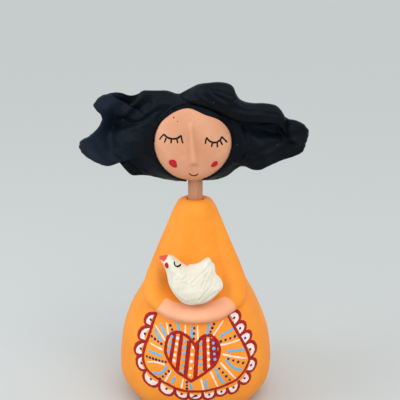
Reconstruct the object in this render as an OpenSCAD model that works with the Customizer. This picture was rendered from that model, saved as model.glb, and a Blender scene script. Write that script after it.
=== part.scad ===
// Standing folk figure in papier-mache: a hollow pear-shaped dress with arms in relief, a bird in the
// arms, and a head with wide waved hair on a wooden dowel that turns and lifts out of the dress.
// Millimetres. +Z is up, the figure faces -Y, and the origin is the middle of the base, on the ground.

/* [Dress] */
// Height of the neck rim above the ground
dress_h = 142.5; // [138:0.5:150]
// Largest radius of the skirt
skirt_r = 53.3; // [51:0.1:56]
// Wall of the papier-mache shell
wall = 4; // [3:0.5:5]
// Height to which the plaster ballast is poured
ballast_h = 14; // [12:1:30]

/* [Neck] */
// Diameter of the wooden dowel
dowel_d = 10; // [9.5:0.1:10.5]
// Depth that the dowel goes down into the dress
socket_depth = 44; // [36:1:48]
// Radial clearance of the dowel in its tube
dowel_play = 0.06; // [0.03:0.01:0.1]
// Wall of the rolled-paper tube
tube_wall = 2.4; // [2:0.1:2.6]

/* [Head] */
// Radius of the round face
face_r = 26.2; // [25.8:0.1:26.4]
// How far the face stands forward of the head's middle
face_bulge = 15; // [14:0.5:15]
// How far the back of the head stands behind its middle
nape_bulge = 13; // [12:0.5:13]
// Thickness of the hair sheets
hair_t = 2.8; // [2.4:0.1:3]

/* [Bird] */
// How far the bird's breast stands forward, doubled
bird_t = 13.5; // [12:0.5:14]

/* [Hidden] */

orange = [0.96, 0.58, 0.19];
skin = [0.90, 0.66, 0.51];
hair_black = [0.07, 0.08, 0.10];
bird_white = [0.90, 0.88, 0.83];
card_brown = [0.62, 0.50, 0.36];
plaster = [0.86, 0.85, 0.82];
bare_wood = [0.80, 0.66, 0.46];

glue_gap = 0.05;            // between curved faces that are glued together
turned_fn = 96;             // sides of a turned part

// ---- curves ----
function clamp01(t) = max(0, min(1, t));
function smooth(t) = let (c = clamp01(t)) c * c * (3 - 2 * c);
function hermite(a, b, ta, tb, t) =
    (2*t*t*t - 3*t*t + 1) * a + (t*t*t - 2*t*t + t) * ta + (3*t*t - 2*t*t*t) * b + (t*t*t - t*t) * tb;
// A smooth curve through points; u runs from 0 at the first to 1 at the last, or back to the first if closed.
function spline(pts, u, closed = false) =
    let (n = len(pts), spans = closed ? n : n - 1, s = min(spans - 1e-9, max(0, u * spans)), i = floor(s),
         at = function(k) closed ? pts[(k + n) % n] : pts[max(0, min(n - 1, k))],
         a = at(i), b = at(i + 1))
    hermite(a, b, (b - at(i - 1)) / 2, (at(i + 2) - a) / 2, s - i);
function curve(pts, steps, closed = false) =
    [for (i = [0 : steps - (closed ? 1 : 0)]) spline(pts, i / steps, closed)];

// ---- closed solids between two grids of points ----
// front and back hold the same rows of points; the solid fills the space between them.
module slab(front, back) {
    rows = len(front);
    cols = len(front[0]);
    size = rows * cols;
    rim = concat([for (j = [0 : cols - 1]) j],
                 [for (i = [1 : rows - 1]) i * cols + cols - 1],
                 [for (j = [cols - 2 : -1 : 0]) (rows - 1) * cols + j],
                 [for (i = [rows - 2 : -1 : 1]) i * cols]);
    n = len(rim);
    polyhedron(
        concat([for (r = front) each r], [for (r = back) each r]),
        concat(
            [for (i = [0 : rows - 2], j = [0 : cols - 2]) let (k = i * cols + j) each
                [[k, k + cols, k + cols + 1], [k, k + cols + 1, k + 1],
                 [size + k, size + k + cols + 1, size + k + cols], [size + k, size + k + 1, size + k + cols + 1]]],
            [for (e = [0 : n - 1]) let (a = rim[e], b = rim[(e + 1) % n]) each
                [[a, b, size + b], [a, size + b, size + a]]]));
}

// A round solid: front and back are rings of points from the middle outwards, with a pole each.
module disc_slab(front, back, front_pole, back_pole) {
    rings = len(front);
    n = len(front[0]);
    size = rings * n;
    polyhedron(
        concat([for (r = front) each r], [for (r = back) each r], [front_pole, back_pole]),
        concat(
            [for (i = [0 : rings - 2], j = [0 : n - 1]) let (k = i * n + j, m = i * n + (j + 1) % n) each
                [[k, m, m + n], [k, m + n, k + n],
                 [size + k, size + m + n, size + m], [size + k, size + k + n, size + m + n]]],
            [for (j = [0 : n - 1]) let (m = (j + 1) % n, o = (rings - 1) * n) each
                [[2 * size, m, j], [2 * size + 1, size + j, size + m],
                 [o + j, o + m, size + o + m], [o + j, size + o + m, size + o + j]]]));
}

// ---- dress ----
// Radius of the dress's outside against height, from the ground to the neck rim.
profile_points = [[0, 34], [3, 41], [8, 46.6], [16, 51.5], [26, 53.3], [40, 52.5], [54, 49.3], [68, 43.9],
                  [80, 37.4], [92, 30.2], [104, 24.4], [116, 20], [128, 16.6], [136, 14.2], [141, 11.6],
                  [142.5, 9.2]];
profile = [for (p = curve(profile_points, 60)) [p[0] * dress_h / 142.5, p[1] * skirt_r / 53.3]];
function dress_r(z) = lookup(z, profile);
base_r = dress_r(0);
disc_r = base_r - wall;
disc_h = 3;
hole_r = dowel_d / 2 + 0.3;
tube_r = dowel_d / 2 + dowel_play + tube_wall;
tube_top = dress_h - 4.5;
collar_bottom = dress_h - 11;
dimple_z = dress_h - 1.7;
// Inside of the shell, from the base disc's ledge up to the thick collar round the tube.
cavity = concat([[disc_r, disc_h], [disc_r + 8, disc_h + 3.5]],
                [for (p = profile) if (p[0] > disc_h + 5 && p[0] < collar_bottom - 3) [p[1] - wall, p[0]]],
                [[tube_r, collar_bottom]]);
cavity_table = [for (p = cavity) [p[1], p[0]]];
function cavity_r(z) = lookup(z, cavity_table);

module dress_shell() {
    color(orange)
    rotate_extrude($fn = turned_fn)
    polygon(concat([[disc_r, 0]],
                   [for (p = profile) [p[1], p[0]]],
                   [[7, dress_h - 0.1], [6, dress_h - 0.7], [hole_r, dimple_z], [hole_r, tube_top],
                    [tube_r, tube_top]],
                   [for (i = [len(cavity) - 1 : -1 : 0]) cavity[i]]));
}

module base_disc() {
    color(card_brown) cylinder(r = disc_r, h = disc_h, $fn = turned_fn);
}

module ballast() {
    color(plaster)
    rotate_extrude($fn = turned_fn)
    polygon(concat([[0, disc_h], [disc_r, disc_h]],
                   [for (p = cavity) if (p[1] > disc_h && p[1] < ballast_h) [p[0] - glue_gap, p[1]]],
                   [[cavity_r(ballast_h) - glue_gap, ballast_h], [0, ballast_h]]));
}

// ---- neck socket ----
dowel_bottom = dimple_z - socket_depth;
plug_h = 6;
tube_bottom = dowel_bottom - plug_h;
spreader_z = tube_bottom + 3;
spreader_h = 2.5;

module neck_tube() {
    color(card_brown)
    translate([0, 0, tube_bottom])
    difference() {
        cylinder(r = tube_r, h = tube_top - tube_bottom, $fn = turned_fn);
        translate([0, 0, -1])
            cylinder(r = dowel_d / 2 + dowel_play, h = tube_top - tube_bottom + 2, $fn = turned_fn);
    }
}

module tube_plug() {
    color(bare_wood)
    translate([0, 0, tube_bottom]) cylinder(r = dowel_d / 2 + dowel_play, h = plug_h, $fn = turned_fn);
}

module tube_spreader() {
    color(card_brown)
    rotate_extrude($fn = turned_fn)
    polygon([[tube_r, spreader_z], [cavity_r(spreader_z) - glue_gap, spreader_z],
             [cavity_r(spreader_z + spreader_h) - glue_gap, spreader_z + spreader_h],
             [tube_r, spreader_z + spreader_h]]);
}

// ---- arms in relief ----
// Middle line of an arm on the dress: angle round from the front, height, half width, height of relief.
arm_path = [[80, 134, 4, 0.6], [73, 124, 6.5, 2.4], [68, 112, 8.5, 4], [63, 101, 9.8, 5.4],
            [56, 91, 10, 6.6], [45, 83.5, 8.6, 7.2], [33, 79, 7, 7.2], [22, 76.8, 6.3, 7.2],
            [11, 75.9, 6, 7.2], [0, 75.6, 6, 7.2]];
cuff = 0.66;                // where along the path the sleeve ends and the bare arm begins
// A point on the dress at an angle round from the front, a height, and a distance above the surface.
function on_dress(angle, z, lift) =
    let (r = dress_r(z) + lift) [r * sin(angle), -r * cos(angle), z];
// A point of an arm: s runs along it, t across it from -1 to 1, share of its relief.
function arm_point(path, s, t, share) =
    let (p = spline(path, s), q = spline(path, min(1, s + 0.01)), o = spline(path, max(0, s - 0.01)),
         r = dress_r(p[1]), along = [(q[0] - o[0]) * r * PI / 180, q[1] - o[1]], n = along / norm(along),
         side = [-n[1], n[0]], a = p[0] + t * p[2] * side[0] / r * 180 / PI, z = p[1] + t * p[2] * side[1])
    on_dress(a, z, glue_gap + share * (0.35 + p[3] * pow(1 - t * t, 0.8)));
module arm(path, from, to, steps) {
    across = 12;
    grid = function(share)
        [for (i = [0 : steps]) [for (j = [0 : across]) arm_point(path, from + (to - from) * i / steps,
                                                                  2 * j / across - 1, share)]];
    slab(grid(1), grid(0));
}
whole_arm = concat(arm_path, [for (i = [len(arm_path) - 2 : -1 : 0])
                              [-arm_path[i][0], arm_path[i][1], arm_path[i][2], arm_path[i][3]]]);
module sleeve_right() {
    color(orange) arm(whole_arm, 0, cuff / 2, 22);
}
module sleeve_left() {
    color(orange) mirror([1, 0, 0]) arm(whole_arm, 0, cuff / 2, 22);
}
module forearms() {
    color(skin) arm(whole_arm, cuff / 2, 1 - cuff / 2, 26);
}

// ---- bird ----
bird_at = [-1.4, 94.4];     // middle of the bird: place across and height
bird_lean = 20;             // degrees that its top leans back, to the chest
bird_outline = [[-22, 17], [-18, 18], [-14.5, 17.5], [-10.5, 14.5], [-4.5, 11], [1, 12], [5, 13.5], [9, 16],
                [11, 16], [14, 12.5], [14.7, 7.5], [17.5, 4], [19.5, 0], [18, -4], [13, -8.5], [7, -11.5],
                [0, -12.5], [-6, -11.5], [-10.5, -8], [-14.5, -2.5], [-16.5, 3], [-17.5, 7], [-20, 13]];
wing_outline = [[-10, 8.5], [-4.5, 9.5], [1.5, 10], [6, 12], [9.5, 13.5], [11.5, 10], [12.5, 5], [10.5, -2.5],
                [4, -8], [-3, -8.5], [-9.5, -5.5], [-12.5, -0.5], [-12.5, 4.5]];
bird_edge = 0.5;            // half thickness at the outline
function bird_plane(z) = -45.5 + (z - 80) * tan(bird_lean);
function pillow(v) = pow(max(0, 1 - pow(v, 2.6)), 0.55);
function bird_front(v) = bird_t / 2 * pillow(v) + bird_edge;
// The back bulges until it meets the chest, and lies against it.
function bird_back(x, z, v) =
    min(13 * pillow(v) + bird_edge, -sqrt(pow(dress_r(z), 2) - x * x) - glue_gap - bird_plane(z));
// How far out from the middle a point lies, as a share of the way to the outline.
function share_out(p, ring) =
    let (a = atan2(p[1], p[0]), near = [for (q = ring) let (d = abs(((atan2(q[1], q[0]) - a + 540) % 360) - 180)) d],
         i = search(min(near), near)[0])
    norm(p) / norm(ring[i]);
bird_ring = curve(bird_outline, 72, true);
fine_bird_ring = curve(bird_outline, 360, true);
wing_ring = curve(wing_outline, 40, true);
module bird_body() {
    rings = 8;
    point = function(q, v, back)
        let (x = bird_at[0] + q[0] * v, z = bird_at[1] + q[1] * v)
        [x, bird_plane(z) + (back ? bird_back(x, z, v) : -bird_front(v)), z];
    layer = function(back)
        [for (i = [1 : rings]) [for (q = bird_ring) point(q, pow(i / rings, 0.8), back)]];
    color(bird_white)
    disc_slab(layer(false), layer(true), point([0, 0], 0, false), point([0, 0], 0, true));
}
module bird_wing() {
    rings = 5;
    point = function(q, v, lift)
        let (p = q * v, x = bird_at[0] + p[0], z = bird_at[1] + p[1])
        [x, bird_plane(z) - bird_front(share_out(p, fine_bird_ring)) - 0.12 - lift * (1.1 - 0.5 * v), z];
    layer = function(lift)
        [for (i = [1 : rings]) [for (q = wing_ring) point(q, i / rings, lift)]];
    color(bird_white)
    disc_slab(layer(1), layer(0), point([0, 0.01], 0, 1), point([0, 0.01], 0, 0));
}

// ---- head ----
head_at = [-1.2, 0, 184.3];
head_power = 2.8;
dowel_top = 178;
// Distance of the head's surface from its middle plane, at a distance from its middle.
function head_y(rho, bulge) = bulge * pow(max(0, 1 - pow(min(1, rho / face_r), head_power)), 1 / head_power);
module neck_dowel() {
    color(skin)
    translate([0, 0, dowel_bottom]) {
        cylinder(r1 = dowel_d / 2 - 0.6, r2 = dowel_d / 2, h = 0.6, $fn = turned_fn);
        translate([0, 0, 0.6]) cylinder(r = dowel_d / 2, h = dowel_top - dowel_bottom - 0.6, $fn = turned_fn);
    }
}
module head_core() {
    steps = 12;
    half = function(bulge, from, to)
        [for (i = [from : to > from ? 1 : -1 : to]) let (a = 90 * i / steps)
            [face_r * pow(sin(a), 2 / head_power), bulge * pow(cos(a), 2 / head_power)]];
    color(skin)
    difference() {
        translate(head_at) rotate([90, 0, 0]) rotate([0, 0, 37])
        rotate_extrude($fn = turned_fn)
        polygon(concat([for (p = half(nape_bulge, 0, steps)) [p[0], -p[1]]],
                       half(face_bulge, steps - 1, 0)));
        translate([0, 0, head_at[2] - face_r - 5]) rotate([0, 0, 40])
            cylinder(r = dowel_d / 2 + dowel_play, h = dowel_top - head_at[2] + face_r + 5, $fn = turned_fn);
    }
}
// Middle line of the nose on the face: place across and up from the face's middle, half width, relief.
nose_path = [[-2.4, 12.5, 1.5, 0.2], [-1.6, 8, 1.8, 1.6], [-0.8, 2, 2.3, 2.8], [0, -4, 2.9, 4], [0.6, -9.5, 3.4, 5],
             [0.8, -13, 3.5, 4.4], [0.9, -14.6, 2.6, 0.6]];
module nose() {
    steps = 22;
    across = 10;
    point = function(s, t, share)
        let (p = spline(nose_path, s), x = p[0] + t * p[2], z = p[1])
        head_at + [x, -head_y(norm([x, z]), face_bulge) - glue_gap - share * (0.2 + p[3] * pow(1 - t * t, 0.9)), z];
    grid = function(share)
        [for (i = [0 : steps]) [for (j = [0 : across]) point(i / steps, 1 - 2 * j / across, share)]];
    color(skin) slab(grid(1), grid(0));
}

// ---- hair ----
// Outline of each sheet as seen from the front: place across and height.
left_outline = [[2, 213.5], [-5, 214.6], [-12, 214.2], [-18.5, 216], [-26, 216.5], [-33.5, 216], [-38.5, 212.6],
                [-42, 208.6], [-46, 206.8], [-51.5, 207.8], [-57, 209.2], [-62, 210], [-65.6, 209],
                [-67.4, 206.8], [-66, 203.6], [-63, 200.4], [-62, 196.6], [-64.5, 191.6], [-70.5, 186.4],
                [-76.4, 182.4], [-78.4, 178.2], [-77.4, 174.8], [-74.6, 171.8], [-70, 169], [-64.6, 166.8],
                [-60, 166.3], [-52, 167.6], [-46, 168.2], [-39.6, 163.6], [-33, 158.6], [-24.5, 156.6],
                [-15, 155.3], [-6.2, 155]];
right_outline = [[5.5, 155.5], [11.5, 155.4], [18, 156.6], [23, 158.6], [27.5, 162.4], [31.2, 164.6],
                 [35.5, 164], [41, 162.6], [45, 162.8], [49.5, 164.4], [56.5, 167.6], [63, 170], [70, 173.4],
                 [73.6, 177.6], [75.2, 182.6], [75.8, 188.2], [74.2, 192.4], [70, 196], [65.4, 197.5],
                 [60, 198], [54, 200.6], [45, 203], [34, 205], [24, 208], [13, 211], [4, 213]];
back_outline = [[0, 213.5], [-8, 213], [-17, 215], [-26, 215.5], [-34, 215.6], [-40.5, 213], [-48, 214.2],
                [-55, 214.3], [-61, 212.4], [-66, 207.5], [-64.6, 203.4], [-61, 199], [-62.4, 191], [-70, 184.6],
                [-76.4, 179], [-75, 173.4], [-69, 169.6], [-61, 167.4], [-52.4, 167.4], [-47.6, 163.4],
                [-43.6, 159], [-36, 158], [-25, 157.2], [-12, 156], [0, 155.8], [12, 156.2], [22, 159], [30, 164.4],
                [40, 163.6], [49, 166], [62, 170.8], [71, 176], [74, 184], [72.4, 191.6], [66, 196], [58, 199.6],
                [50, 203.6], [38, 206], [27, 210], [22, 216], [12, 218], [4, 216.5]];
// Middle line of the folded lock on top: place across, height, half width, depth of its dome.
lock_path = [[-8.5, 213.4, 1.6, 1.6], [-3, 214.4, 4, 3], [5, 213.8, 6.6, 4.6], [14, 211.8, 8.8, 5.8],
             [22, 208.4, 9.8, 6.2], [30, 202.4, 7.2, 5.6], [39, 200.6, 6.6, 5.2], [48, 200.2, 6.8, 5],
             [55, 198.6, 6, 4.2], [59.8, 194.6, 3, 2]];

// The hair's middle sheet waves to and fro away from the head.
function mid_y(x, z) =
    let (w = smooth((norm([x - head_at[0], z - head_at[2]]) - 28) / 30))
    1 + w * (3.6 * sin(7.6 * x + 4.4 * (z - 184) + 34) + 2.4 * sin(5 * x - 8.6 * (z - 184)));
root_r = face_r + 0.3;
front_swell = 7;
back_swell = 11;
module front_sheet(outline, steps) {
    across = 9;
    centre = [head_at[0], head_at[2]];
    point = function(u, v, deep)
        let (edge = spline(outline, u), away = edge - centre, p = centre + away * (root_r / norm(away)) * (1 - v)
             + away * v)
        [p[0], mid_y(p[0], p[1]) - glue_gap - front_swell * (1 - smooth(v)) - hair_t * (1 - deep), p[1]];
    grid = function(deep)
        [for (i = [0 : steps]) [for (j = [0 : across]) point(i / steps, j / across, deep)]];
    slab(grid(0), grid(1));
}
module hair_front_left() {
    color(hair_black) front_sheet(left_outline, 96);
}
module hair_front_right() {
    color(hair_black) front_sheet([for (i = [len(right_outline) - 1 : -1 : 0]) right_outline[i]], 78);
}
// The back sheet swings clear behind the dowel under the head.
function neck_room(x, z) = (dowel_d / 2 + 0.9) * smooth((14 - abs(x)) / 5) * smooth((172 - z) / 5);
module hair_back() {
    rings = 9;
    centre = [head_at[0], head_at[2]];
    ring = curve(back_outline, 120, true);
    point = function(edge, v, lift)
        let (away = edge - centre, p = centre + away * v, rho = norm(away) * v)
        [p[0], max(head_y(rho, nape_bulge) + 0.3, mid_y(p[0], p[1]) + glue_gap + back_swell * (1 - v * v),
                   neck_room(p[0], p[1])) + lift * hair_t, p[1]];
    layer = function(lift)
        [for (i = [1 : rings]) [for (j = [len(ring) - 1 : -1 : 0]) point(ring[j], i / rings, lift)]];
    color(hair_black)
    disc_slab(layer(0), layer(1), point([0, 0], 0, 0), point([0, 0], 0, 1));
}
lock_back = -10.4;          // the plane that the lock lies against
module hair_top_lock() {
    steps = 30;
    across = 10;
    point = function(s, t, share)
        let (p = spline(lock_path, s), q = spline(lock_path, min(1, s + 0.01)),
             o = spline(lock_path, max(0, s - 0.01)), along = [q[0] - o[0], q[1] - o[1]], n = along / norm(along))
        [p[0] - t * p[2] * n[1], lock_back - share * (1.6 + p[3] * sqrt(1 - t * t)), p[1] + t * p[2] * n[0]];
    grid = function(share)
        [for (i = [0 : steps]) [for (j = [0 : across]) point(i / steps, 1 - 2 * j / across, share)]];
    color(hair_black) slab(grid(1), grid(0));
}
// Middle line of the roll along the hairline, from the face's middle: angle round from +X, distance, radius.
roll_path = [[186, 24.8, 0.6], [165, 24.6, 0.9], [145, 24, 1.4], [120, 23.6, 1.8], [98, 23.2, 2], [80, 22.6, 2.1],
             [62, 22.2, 2.1], [44, 22.6, 2.1], [28, 23.4, 1.8], [12, 24.4, 1.1], [-2, 24.8, 0.6]];
module hairline_roll() {
    steps = 40;
    sides = 10;
    rings = [for (i = [0 : steps]) let (p = spline(roll_path, i / steps), out = [cos(p[0]), 0, sin(p[0])],
             middle = head_at + p[1] * out + [0, -head_y(p[1] - p[2] * 0.75, face_bulge) - p[2] - 0.15, 0])
             [for (k = [0 : sides - 1]) middle + p[2] * (cos(360 * k / sides) * out
                                                         + sin(360 * k / sides) * [0, 1, 0])]];
    n = steps + 1;
    color(hair_black)
    polyhedron([for (r = rings) each r],
               concat([for (i = [0 : n - 2], k = [0 : sides - 1]) let (a = i * sides + k, b = i * sides + (k + 1) % sides)
                       each [[a, a + sides, b + sides], [a, b + sides, b]]],
                      [[for (k = [0 : sides - 1]) k]], [[for (k = [sides - 1 : -1 : 0]) (n - 1) * sides + k]]));
}

dress_shell();
base_disc();
ballast();
neck_tube();
tube_plug();
tube_spreader();
sleeve_left();
sleeve_right();
forearms();
bird_body();
bird_wing();
neck_dowel();
head_core();
nose();
hairline_roll();
hair_front_left();
hair_front_right();
hair_top_lock();
hair_back();
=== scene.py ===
import math
import bpy
import numpy as np
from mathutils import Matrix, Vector


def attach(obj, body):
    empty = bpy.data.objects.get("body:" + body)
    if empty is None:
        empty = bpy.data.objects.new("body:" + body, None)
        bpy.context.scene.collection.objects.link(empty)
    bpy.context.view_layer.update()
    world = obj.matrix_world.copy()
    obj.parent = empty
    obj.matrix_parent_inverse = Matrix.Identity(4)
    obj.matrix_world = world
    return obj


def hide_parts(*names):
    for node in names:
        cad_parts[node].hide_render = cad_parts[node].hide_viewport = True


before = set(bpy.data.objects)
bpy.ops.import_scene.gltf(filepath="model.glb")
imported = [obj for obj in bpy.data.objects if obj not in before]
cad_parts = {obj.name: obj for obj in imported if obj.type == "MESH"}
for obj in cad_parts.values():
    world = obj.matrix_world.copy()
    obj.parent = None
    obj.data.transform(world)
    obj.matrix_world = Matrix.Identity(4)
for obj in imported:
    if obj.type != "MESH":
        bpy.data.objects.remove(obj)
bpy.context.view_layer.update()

mm = 0.001  # the numbers below are millimetres


class Wire:
    # a shader socket that ordinary operators work on
    def __init__(self, bench, socket):
        self.bench, self.socket = bench, socket

    def maths(self, operation, other, swapped=False):
        first, second = (other, self) if swapped else (self, other)
        return self.bench.node("ShaderNodeMath", {"operation": operation}, {0: first, 1: second})

    def __add__(self, other):
        return self.maths("ADD", other)

    def __radd__(self, other):
        return self.maths("ADD", other, True)

    def __sub__(self, other):
        return self.maths("SUBTRACT", other)

    def __mul__(self, other):
        return self.maths("MULTIPLY", other)

    def step(self, low, high):
        # 0 below low, 1 above high, smooth between; falls instead of rising when low is the larger
        return self.bench.node("ShaderNodeMapRange", {"interpolation_type": "SMOOTHSTEP"},
                               {"Value": self, "From Min": low, "From Max": high})


class Bench:
    # the node tree of one material, with its Principled shader
    def __init__(self, name, **fixed):
        self.material = bpy.data.materials.new(name)
        self.material.use_nodes = True
        self.tree = self.material.node_tree
        self.shader = next(n for n in self.tree.nodes if n.type == "BSDF_PRINCIPLED")
        self.points = None
        for socket, value in fixed.items():
            self.shader.inputs[socket.replace("_", " ")].default_value = value

    def node(self, kind, settings, sockets, output=0):
        made = self.tree.nodes.new(kind)
        for key, value in settings.items():
            setattr(made, key, value)
        for key, value in sockets.items():
            if isinstance(value, Wire):
                self.tree.links.new(value.socket, made.inputs[key])
            else:
                made.inputs[key].default_value = value
        return Wire(self, made.outputs[output])

    def place(self, stretch=(1, 1, 1)):
        # Object coordinates in metres, stretched before a pattern reads them
        if self.points is None:
            self.points = self.node("ShaderNodeTexCoord", {}, {}, "Object")
        if stretch == (1, 1, 1):
            return self.points
        return self.node("ShaderNodeMapping", {}, {"Vector": self.points, "Scale": stretch})

    def noise(self, size, detail=3.0, rough=0.5, stretch=(1, 1, 1), twist=0.0):
        # soft noise whose blobs are about size millimetres across
        pattern = {"Vector": self.place(stretch), "Scale": 1 / (size * mm), "Detail": detail,
                   "Roughness": rough, "Distortion": twist}
        return self.node("ShaderNodeTexNoise", {}, pattern)

    def specks(self, spacing, radius, share):
        # small round spots: in a share of the cells spacing apart, 1 within radius of the cell's point
        cells = {"Vector": self.place(), "Scale": 1 / (spacing * mm)}
        near = self.node("ShaderNodeTexVoronoi", {}, cells, "Distance")
        pick = self.node("ShaderNodeTexVoronoi", {}, cells, "Color")
        pick = self.node("ShaderNodeSeparateColor", {}, {"Color": pick}, "Red")
        return near.step(radius / spacing, radius / spacing * 0.5) * pick.step(share, share - 0.02)

    def mix(self, factor, a, b):
        # colour a where the factor is 0, colour b where it is 1
        return self.node("ShaderNodeMix", {"data_type": "RGBA"}, {0: factor, 6: a, 7: b}, 2)

    def attribute(self, name):
        return self.node("ShaderNodeAttribute", {"attribute_name": name}, {}, "Fac")

    def finish(self, colour=None, roughness=None, height=None, depth=0.1):
        # links what varies; height is a bump whose full range is depth millimetres
        for socket, value in (("Base Color", colour), ("Roughness", roughness)):
            if isinstance(value, Wire):
                self.tree.links.new(value.socket, self.shader.inputs[socket])
            elif value is not None:
                self.shader.inputs[socket].default_value = value
        if height is not None:
            relief = {"Height": height, "Distance": depth * mm, "Strength": 1.0}
            bump = self.node("ShaderNodeBump", {}, relief)
            self.tree.links.new(bump.socket, self.shader.inputs["Normal"])
        return self.material


def tint(red, green, blue):
    # a screen colour, 0 to 255 in each channel, turned into linear light
    def linear(c):
        c = c / 255
        return c / 12.92 if c < 0.04045 else ((c + 0.055) / 1.055) ** 2.4
    return (linear(red), linear(green), linear(blue), 1.0)


def spline(points, u, closed=False):
    # Catmull-Rom: in each span a cubic whose end slopes are half the chord between the neighbouring points
    p = np.asarray(points, float)
    n = len(p)
    spans = n if closed else n - 1
    s = np.clip(u, 0, 1) * spans
    i = np.minimum(np.floor(s).astype(int), spans - 1)
    f = (s - i)[..., None]
    at = (lambda k: p[k % n]) if closed else (lambda k: p[np.clip(k, 0, n - 1)])
    a, b = at(i), at(i + 1)
    slopeA, slopeB = (b - at(i - 1)) / 2, (at(i + 2) - a) / 2
    return ((2 * f**3 - 3 * f**2 + 1) * a + (f**3 - 2 * f**2 + f) * slopeA
            + (3 * f**2 - 2 * f**3) * b + (f**3 - f**2) * slopeB)


def ease(t):
    # 0 to 1 with level ends: 3t^2 - 2t^3
    t = np.clip(t, 0, 1)
    return t * t * (3 - 2 * t)


def lineDistance(x, z, line, closed=False):
    # distance from each point to a chain of straight pieces: the least over the pieces of |p - nearest point|
    line = np.asarray(line, float)
    ends = np.roll(line, -1, 0) if closed else line[1:]
    starts = line if closed else line[:-1]
    best = np.full(np.shape(x), 1e9)
    for a, b in zip(starts, ends):
        d = b - a
        t = np.clip(((x - a[0]) * d[0] + (z - a[1]) * d[1]) / max(d @ d, 1e-9), 0, 1)
        best = np.minimum(best, np.hypot(x - a[0] - t * d[0], z - a[1] - t * d[1]))
    return best


def insideDistance(x, z, ring):
    # distance to a closed ring, positive inside: a point is inside where a ray from it to the right
    # crosses the ring an odd number of times
    ring = np.asarray(ring, float)
    inside = np.zeros(np.shape(x), bool)
    for a, b in zip(ring, np.roll(ring, -1, 0)):
        crosses = (a[1] > z) != (b[1] > z)
        at = a[0] + (z - a[1]) / (b[1] - a[1] if b[1] != a[1] else 1e-9) * (b[0] - a[0])
        inside ^= crosses & (x < at)
    return lineDistance(x, z, ring, True) * np.where(inside, 1, -1)


def unevenness(x, y, z, size, seed):
    # a smooth hand-made wobble of about 1 either way: a fifth of the sum of 14 sine waves in seeded
    # directions, each between size / 1.4 and size / 0.7 long
    draw = np.random.default_rng(seed)
    total = 0.0
    for _ in range(14):
        way = draw.normal(size=3)
        way *= draw.uniform(0.7, 1.4) * 2 * math.pi / size / np.linalg.norm(way)
        total = total + np.sin(way[0] * x + way[1] * y + way[2] * z + draw.uniform(0, 2 * math.pi))
    return total / 5


def lumps(x, y, z, layers):
    # coarse and fine unevenness together: the sum of height * unevenness, a layer being height, size and seed
    return sum(height * unevenness(x, y, z, size, seed) for height, size, seed in layers)


def outAndHome(out, home):
    # values for a way out along the front and home along the back, and 1 for each in front, 0 for each behind
    return np.concatenate([out, home]), np.concatenate([np.ones(len(out)), np.zeros(len(home))])


def overTheRim(start, frontCount, backCount):
    # a column of angles: from start, at the middle of the front, over the rim at 90 degrees to the middle
    # of the back, start short of 180
    front = np.linspace(start, math.pi / 2, frontCount)
    back = np.linspace(math.pi / 2, math.pi - start, backCount)
    return np.concatenate([front, back[1:]])[:, None]


def gridQuads(rows, cols, wrapRows=False):
    # four-cornered faces between neighbouring rows and columns of a grid whose last column joins the first
    i, j = np.meshgrid(np.arange(rows if wrapRows else rows - 1), np.arange(cols), indexing="ij")
    i, j = i.ravel(), j.ravel()
    k, l = (i + 1) % rows, (j + 1) % cols
    return np.stack([i * cols + j, i * cols + l, k * cols + l, k * cols + j], -1)


def outward(points, quads, triangles):
    # turns a closed shell right side out when its signed volume, the sum of a.(b x c)/6, is negative
    split = np.concatenate([quads[:, [0, 1, 2]], quads[:, [0, 2, 3]], triangles])
    a, b, c = (points[split[:, k]] for k in range(3))
    if np.einsum("ij,ij->", a, np.cross(b, c)) < 0:
        quads, triangles = quads[:, ::-1], triangles[:, ::-1]
    return points, quads, triangles


def blob(grid):
    # a solid from rings of points: the first and last rings close on their own middles
    rows, cols = grid.shape[:2]
    points = np.concatenate([grid.reshape(-1, 3), grid[:1].mean(1), grid[-1:].mean(1)])
    j = np.arange(cols)
    k = (j + 1) % cols
    last = (rows - 1) * cols
    fans = np.concatenate([np.stack([np.full(cols, rows * cols), k, j], -1),
                           np.stack([np.full(cols, rows * cols + 1), last + j, last + k], -1)])
    return outward(points, gridQuads(rows, cols), fans)


def ringShell(grid):
    # a hollow turned solid: the last ring of points joins the first
    return outward(grid.reshape(-1, 3), gridQuads(*grid.shape[:2], wrapRows=True), np.zeros((0, 3), int))


def makePiece(name, shells, body, material, standsFor=(), fields=None):
    # closed shells joined into one mesh: the corner numbers of each are raised by the points before it
    before = np.cumsum([0] + [len(points) for points, _, _ in shells])
    points = np.concatenate([points for points, _, _ in shells])
    quads = np.concatenate([quads + start for (_, quads, _), start in zip(shells, before)])
    triangles = np.concatenate([fans + start for (_, _, fans), start in zip(shells, before)])
    mesh = bpy.data.meshes.new(name)
    mesh.from_pydata((points * mm).tolist(), [], quads.tolist() + triangles.tolist())
    mesh.polygons.foreach_set("use_smooth", np.ones(len(mesh.polygons), bool))
    for key, values in (fields or {}).items():
        values = np.ravel(values).astype(np.float32)
        mesh.attributes.new(key, "FLOAT", "POINT").data.foreach_set("value", values)
    mesh.materials.append(material)
    mesh.update()
    piece = bpy.data.objects.new(name, mesh)
    bpy.context.scene.collection.objects.link(piece)
    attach(piece, body)
    if standsFor:
        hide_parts(*standsFor)
    print(f"{name}: {len(mesh.polygons)} faces")
    return piece


def reachOf(ring, centre=(0, 0)):
    # how far a closed ring lies from its centre in the direction of (x, z), read between the ring's own
    # points
    away = ring - np.array(centre)
    turns, lengths = np.arctan2(away[:, 1], away[:, 0]), np.hypot(away[:, 0], away[:, 1])
    return lambda x, z: np.interp(np.arctan2(z, x), turns, lengths, period=2 * math.pi)


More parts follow.
